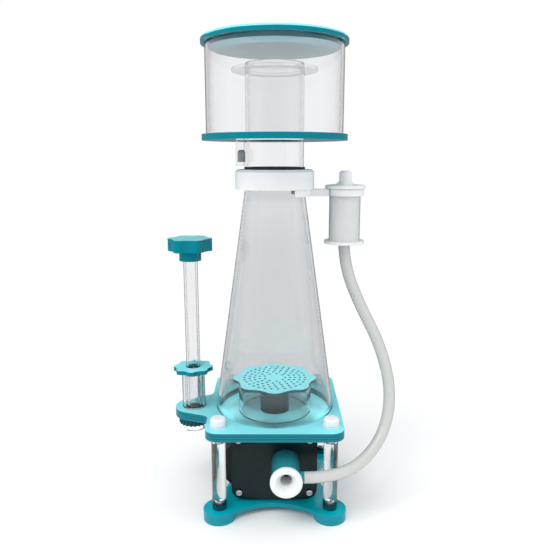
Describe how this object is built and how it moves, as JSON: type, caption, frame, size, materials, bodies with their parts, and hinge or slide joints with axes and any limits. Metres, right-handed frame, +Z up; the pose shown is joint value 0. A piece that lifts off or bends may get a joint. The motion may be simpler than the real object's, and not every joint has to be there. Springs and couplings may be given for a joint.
{
  "type": "protein skimmer",
  "caption": "Cone protein skimmer: clear foam tower and collection cup over a teal plate stand, with a needle-wheel pump, venturi intake, level valve and air silencer.",
  "frame": {"origin": "on the floor, under the middle of the object's box without its air hose", "axes": "+Z up along the tower, -Y towards the pump's intake nozzle, +X towards the air silencer"},
  "size_m": [0.2404, 0.172, 0.489],
  "materials": {
    "teal_acrylic": "polished cast acrylic",
    "dark_teal_acrylic": "polished acrylic",
    "teal_clear": "tinted clear moulding",
    "clear_acrylic": "polished clear acrylic",
    "cone_acrylic": "polished clear acrylic, faintly grey",
    "white_plastic": "satin moulded plastic",
    "frosted_plastic": "translucent moulded plastic",
    "black_plastic": "semi-gloss moulded plastic",
    "black_rubber": "matt rubber",
    "grey_rubber": "matt rubber",
    "silicone": "translucent silicone",
    "foam": "open-cell foam",
    "stainless": "turned stainless steel",
    "ceramic": "ground ceramic",
    "magnet": "encapsulated ferrite",
    "stator": "resin-filled laminations"
  },
  "bodies": {
    "stand": {"foot_pads": "teal_acrylic", "foot_screws": "stainless", "bottom_plate": "teal_acrylic", "post_seats": "dark_teal_acrylic", "clear_posts": "clear_acrylic", "deck_floor_plate": "teal_acrylic", "deck_channel_plate": "teal_acrylic", "deck_top_plate": "teal_acrylic", "deck_washers": "white_plastic", "cone_shell": "cone_acrylic", "bubble_plate": "teal_acrylic", "bubble_ring": "clear_acrylic", "riser_pipe": "black_plastic", "collar": "white_plastic", "neck_seal": "black_rubber", "valve_tube": "clear_acrylic", "outlet_stub": "clear_acrylic", "silencer_bracket": "white_plastic", "silencer_tube": "frosted_plastic", "silencer_base": "white_plastic", "silencer_foam": "foam", "pump_volute": "black_plastic", "pump_cover": "black_plastic", "cover_screws": "stainless", "motor_housing": "black_plastic", "motor_end_cap": "black_plastic", "stator_core": "stator", "pump_shaft": "ceramic", "front_bush": "black_rubber", "rear_bush": "black_rubber", "terminal_box": "black_plastic", "cable_gland": "black_rubber", "pump_pads": "black_rubber", "venturi_body": "teal_clear", "air_barb": "teal_clear", "air_hose": "silicone"},
    "cup": {"neck_tube": "clear_acrylic", "splash_ring": "clear_acrylic", "cup_wall": "clear_acrylic", "cup_floor": "teal_acrylic", "drain_spigot": "clear_acrylic"},
    "lid": {"lid_cover": "teal_acrylic", "lid_plug": "teal_acrylic"},
    "drain_plug": {"drain_plug": "grey_rubber"},
    "valve_slider": {"valve_slider": "white_plastic", "slider_seal": "black_rubber"},
    "valve_handle": {"valve_stem": "clear_acrylic", "valve_knob": "teal_acrylic"},
    "star_nut": {"star_nut": "teal_acrylic"},
    "lock_ring": {"lock_ring": "dark_teal_acrylic"},
    "silencer_cap": {"silencer_cap": "white_plastic"},
    "intake_nozzle": {"intake_nozzle": "white_plastic"},
    "rotor": {"rotor_magnet": "magnet", "needle_wheel": "teal_acrylic"},
    "thumb_screw_front_left": {"thumb_screw_front_left": "white_plastic"},
    "thumb_screw_front_right": {"thumb_screw_front_right": "white_plastic"},
    "thumb_screw_rear_left": {"thumb_screw_rear_left": "white_plastic"},
    "thumb_screw_rear_right": {"thumb_screw_rear_right": "white_plastic"}
  },
  "joints": [
    {"name": "cup_lift", "type": "slide", "parent": "stand", "child": "cup", "axis": [0, 0, 1], "range_m": [0, 0.06]},
    {"name": "lid_lift", "type": "slide", "parent": "cup", "child": "lid", "axis": [0, 0, 1], "range_m": [0, 0.04]},
    {"name": "drain_plug_pull", "type": "slide", "parent": "cup", "child": "drain_plug", "axis": [0, 0, -1], "range_m": [0, 0.006]},
    {"name": "valve_lift", "type": "slide", "parent": "stand", "child": "valve_slider", "axis": [0, 0, 1], "range_m": [0, 0.02]},
    {"name": "knob_turn", "type": "hinge", "parent": "valve_slider", "child": "valve_handle", "pos_m": [-0.0801, -0.004, 0.29], "axis": [0, 0, 1], "range_deg": [0, 900]},
    {"name": "star_nut_turn", "type": "hinge", "parent": "stand", "child": "star_nut", "pos_m": [-0.0801, -0.004, 0.145], "axis": [0, 0, 1], "range_deg": [0, 90]},
    {"name": "lock_ring_turn", "type": "hinge", "parent": "stand", "child": "lock_ring", "pos_m": [-0.0801, -0.004, 0.09], "axis": [0, 0, 1], "range_deg": [0, 60]},
    {"name": "silencer_cap_lift", "type": "slide", "parent": "stand", "child": "silencer_cap", "axis": [0, 0, 1], "range_m": [0, 0.02]},
    {"name": "nozzle_pull", "type": "slide", "parent": "stand", "child": "intake_nozzle", "axis": [0, -1, 0], "range_m": [0, 0.03]},
    {"name": "rotor_spin", "type": "hinge", "parent": "stand", "child": "rotor", "pos_m": [0.0204, 0.003, 0.056], "axis": [0, 1, 0], "continuous": true},
    {"name": "thumb_turn_front_left", "type": "hinge", "parent": "stand", "child": "thumb_screw_front_left", "pos_m": [-0.0491, -0.0545, 0.105], "axis": [0, 0, 1], "range_deg": [0, 360]},
    {"name": "thumb_turn_front_right", "type": "hinge", "parent": "stand", "child": "thumb_screw_front_right", "pos_m": [0.0669, -0.0545, 0.105], "axis": [0, 0, 1], "range_deg": [0, 360]},
    {"name": "thumb_turn_rear_left", "type": "hinge", "parent": "stand", "child": "thumb_screw_rear_left", "pos_m": [-0.0491, 0.0665, 0.105], "axis": [0, 0, 1], "range_deg": [0, 360]},
    {"name": "thumb_turn_rear_right", "type": "hinge", "parent": "stand", "child": "thumb_screw_rear_right", "pos_m": [0.0669, 0.0665, 0.105], "axis": [0, 0, 1], "range_deg": [0, 360]}
  ],
  "couplings": [
    {"joint": "valve_lift", "follows": "knob_turn", "m_per_rad": 0.001273}
  ]
}
